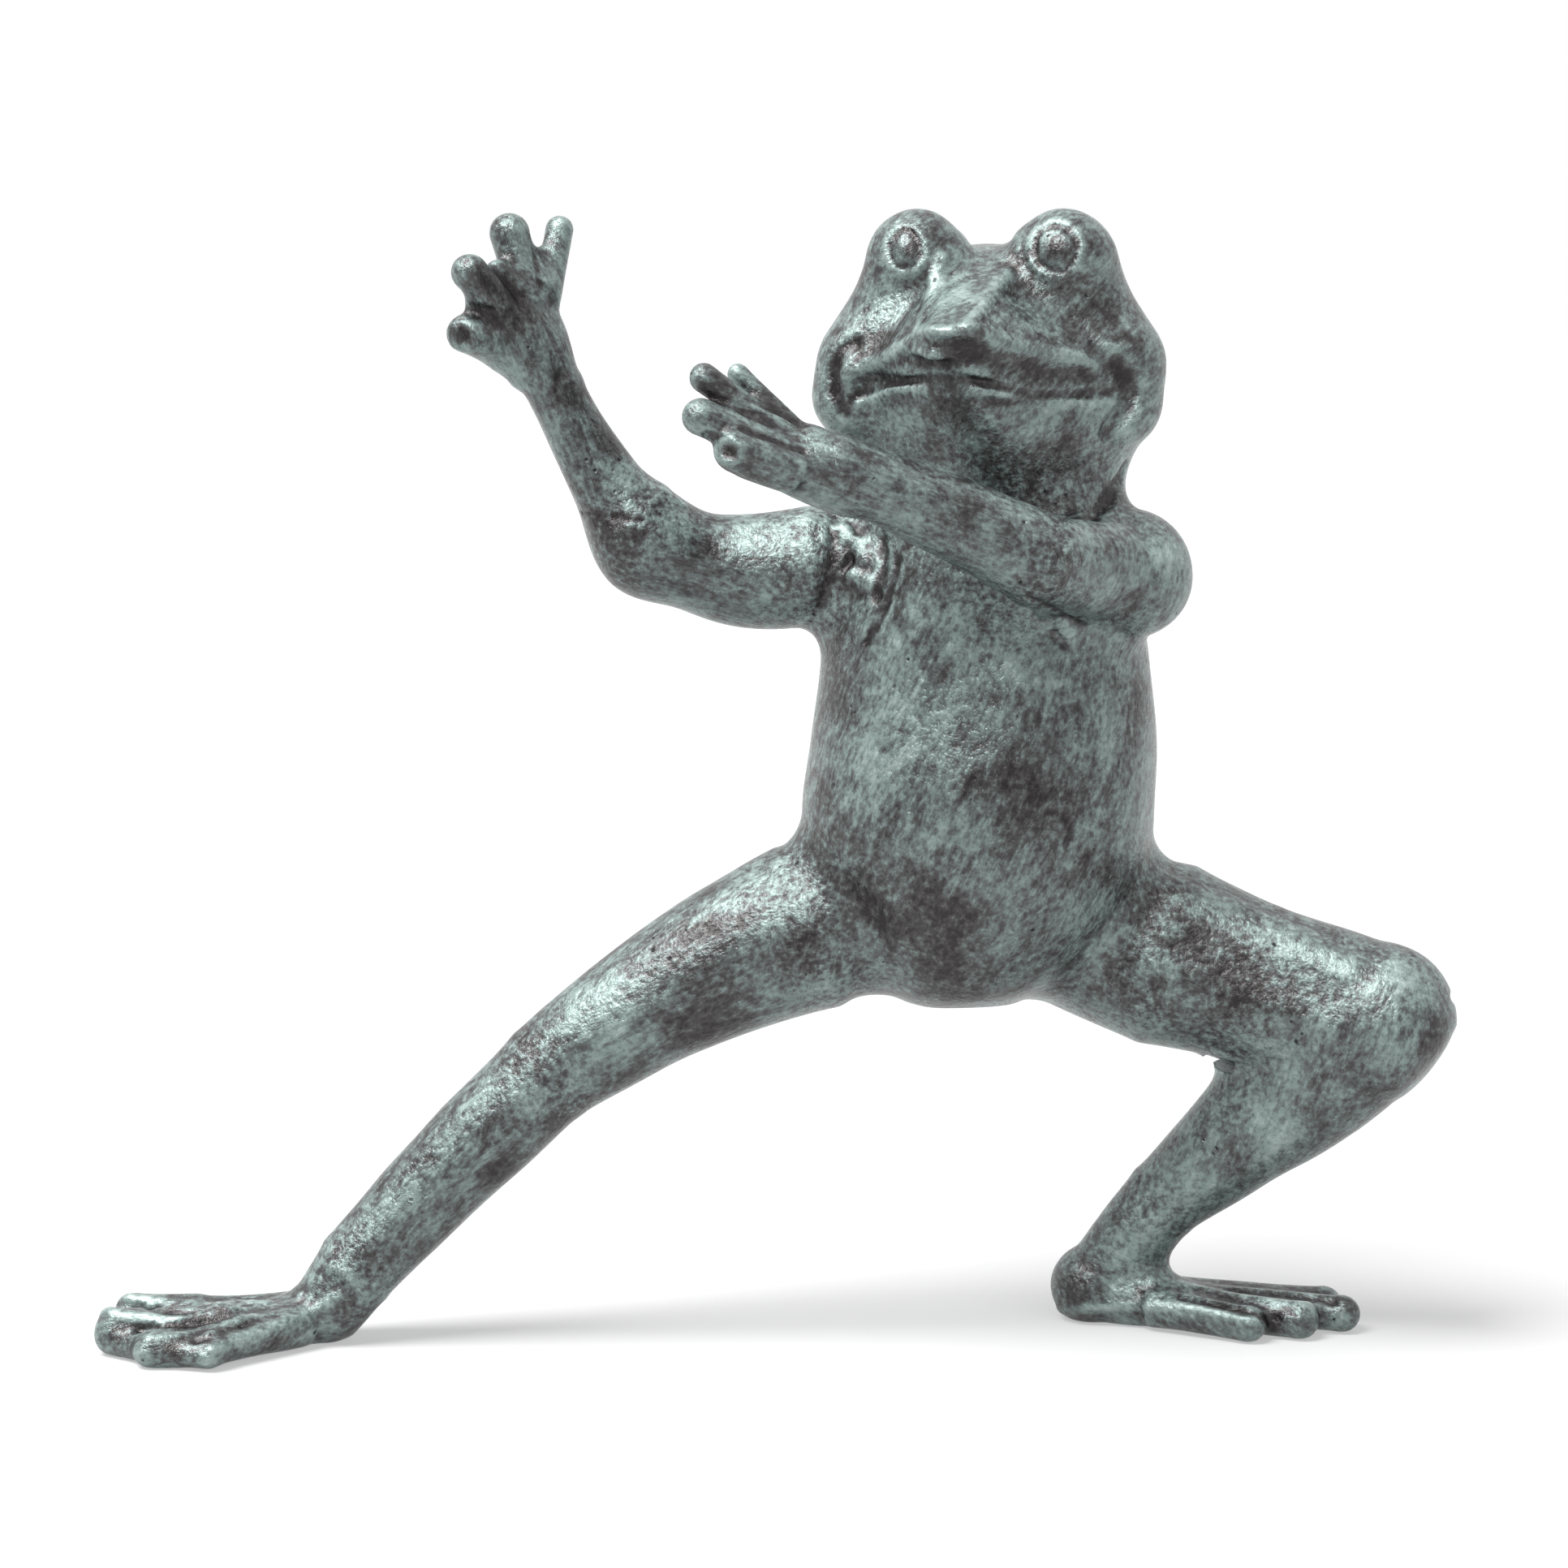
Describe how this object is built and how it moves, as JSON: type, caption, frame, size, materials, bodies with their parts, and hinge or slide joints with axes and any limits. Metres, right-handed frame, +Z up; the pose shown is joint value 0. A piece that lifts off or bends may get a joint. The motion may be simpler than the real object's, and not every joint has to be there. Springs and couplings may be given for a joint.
{
  "type": "frog figurine",
  "caption": "Cast-metal frog figure in a wide martial-arts stance, one arm raised and one across the chest, verdigris finish, free-standing on webbed feet.",
  "frame": {"origin": "middle of the bounding box on the floor the figure stands on", "axes": "+X towards the frog's left, along the wide stance; +Y towards its back; +Z up"},
  "size_m": [0.4282, 0.1458, 0.3575],
  "materials": {
    "patina": "satin verdigris patina over dark cast aluminium, hand brushed",
    "weld": "dressed weld bead under the same verdigris patina"
  },
  "bodies": {
    "root": {"torso": "patina", "head": "patina", "right_upper_arm": "patina", "right_forearm": "patina", "left_arm": "patina", "right_thigh": "patina", "right_shin": "patina", "right_foot": "patina", "left_thigh": "patina", "left_shin": "patina", "left_foot": "patina", "neck_weld": "weld", "right_shoulder_weld": "weld", "right_elbow_weld": "weld", "left_arm_weld": "weld", "right_hip_weld": "weld", "right_knee_weld": "weld", "right_ankle_weld": "weld", "left_hip_weld": "weld", "left_knee_weld": "weld", "left_ankle_weld": "weld"}
  },
  "joints": []
}
